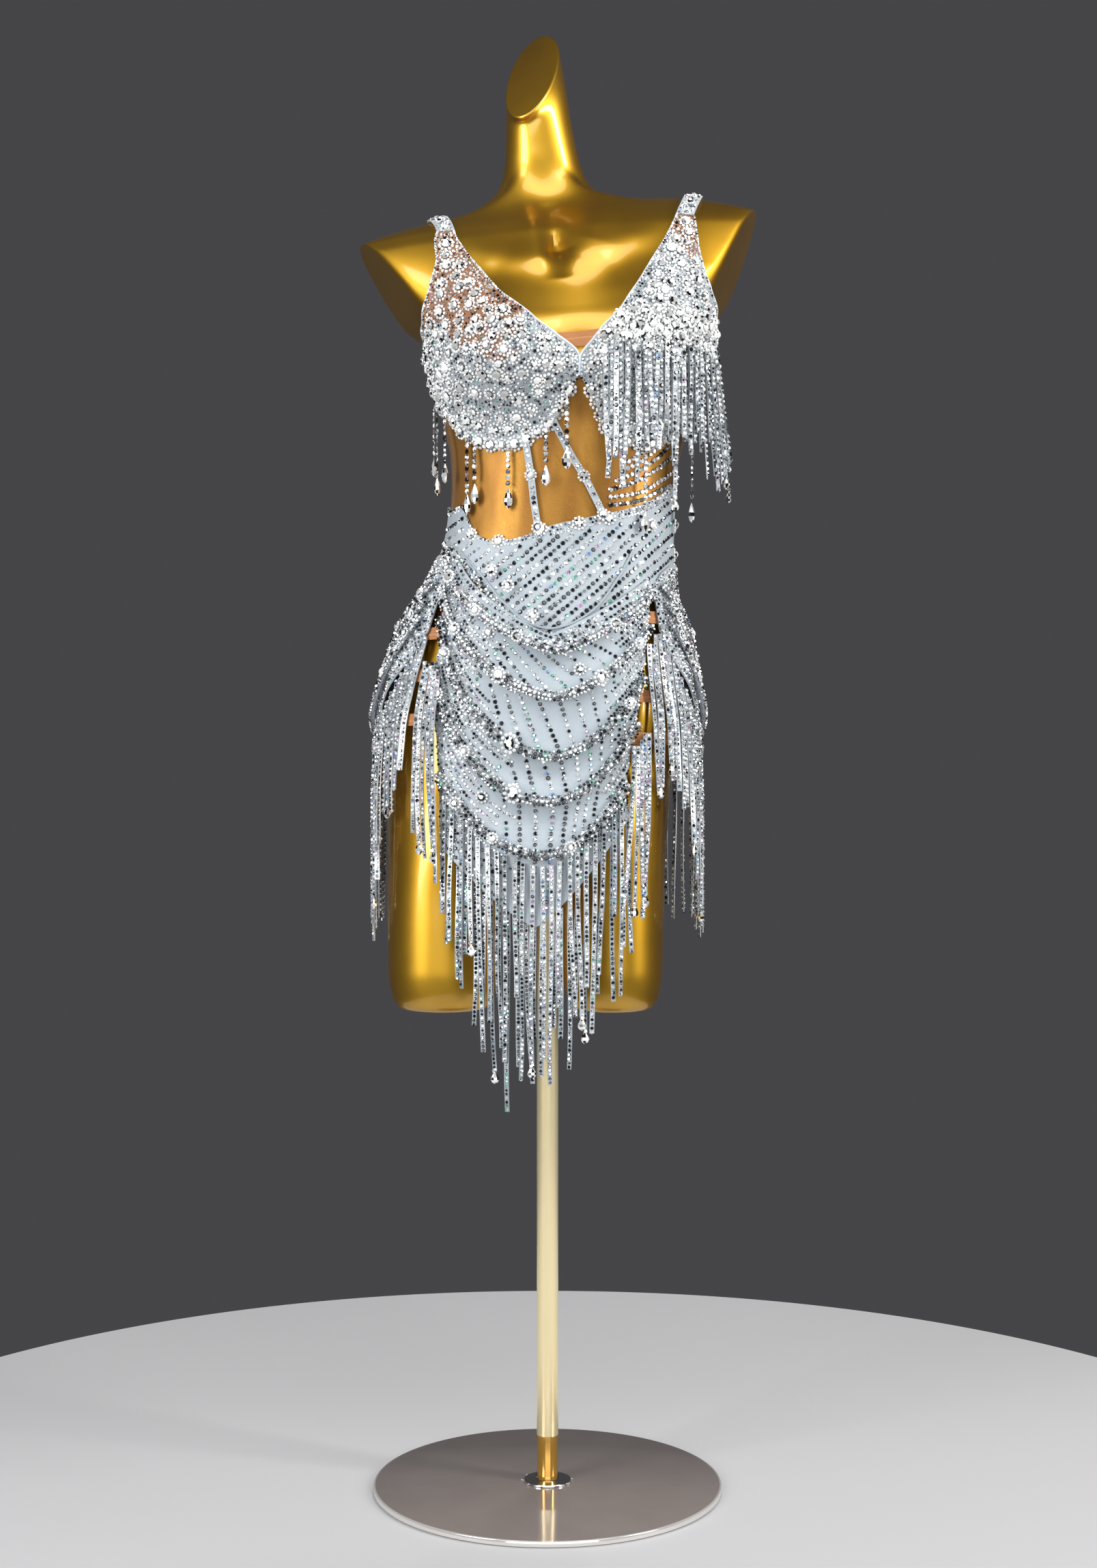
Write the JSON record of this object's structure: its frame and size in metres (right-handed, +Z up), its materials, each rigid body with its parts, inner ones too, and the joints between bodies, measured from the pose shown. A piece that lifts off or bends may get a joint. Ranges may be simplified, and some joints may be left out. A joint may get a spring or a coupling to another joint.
{
  "type": "salsa dance dress on a limbless dress form",
  "caption": "Short fringed dance dress of pale cloth and nude mesh with draped, stone-covered swags, worn by a gold torso form on a pole with a round base.",
  "frame": {"origin": "middle of the base plate's underside, on the floor", "axes": "+Z up along the pole, -Y the way the dress faces, +X to the wearer's left"},
  "size_m": [0.4128, 0.356, 1.504],
  "materials": {
    "gold_form": "satin gold lacquer",
    "gold_pole": "satin gold tube",
    "mirror_base": "polished plate, warm grey reflection",
    "chrome_flange": "polished",
    "pale_blue_cloth": "pale blue-grey stretch cloth",
    "fringe_cloth": "pale blue strips with stones",
    "blue_piping": "satin piping",
    "nude_mesh": "fine stretch mesh, tan",
    "nude_elastic": "tan elastic",
    "rhinestone": "faceted clear and aurora stones"
  },
  "bodies": {
    "root": {"apron": "pale_blue_cloth", "band_inner": "pale_blue_cloth", "band_outer": "pale_blue_cloth", "base_flange": "chrome_flange", "base_plate": "mirror_base", "bodice_back": "pale_blue_cloth", "bodice_cup_left": "pale_blue_cloth", "bodice_cup_right": "pale_blue_cloth", "cowl_piping": "blue_piping", "drops_left": "rhinestone", "drops_right": "rhinestone", "form": "gold_form", "fringe_back": "fringe_cloth", "fringe_bodice_lower": "fringe_cloth", "fringe_bodice_upper": "fringe_cloth", "fringe_hem": "fringe_cloth", "fringe_left": "fringe_cloth", "fringe_right": "fringe_cloth", "fringe_swag": "fringe_cloth", "fringe_tab_left": "fringe_cloth", "fringe_tab_right": "fringe_cloth", "midriff_back": "nude_mesh", "midriff_front": "nude_mesh", "neckline_elastic": "nude_elastic", "pole": "gold_pole", "rope_back_1": "rhinestone", "rope_back_2": "rhinestone", "rope_back_3": "rhinestone", "rope_front_1": "rhinestone", "rope_front_2": "rhinestone", "rope_front_3": "rhinestone", "rope_front_4": "rhinestone", "rope_front_5": "rhinestone", "skirt_back": "pale_blue_cloth", "slit_elastic_left_1": "nude_elastic", "slit_elastic_left_2": "nude_elastic", "slit_elastic_left_3": "nude_elastic", "slit_elastic_right_1": "nude_elastic", "slit_elastic_right_2": "nude_elastic", "slit_elastic_right_3": "nude_elastic", "strap_left": "pale_blue_cloth", "strap_right": "pale_blue_cloth", "yoke_back": "pale_blue_cloth", "yoke_front": "pale_blue_cloth"}
  },
  "joints": []
}
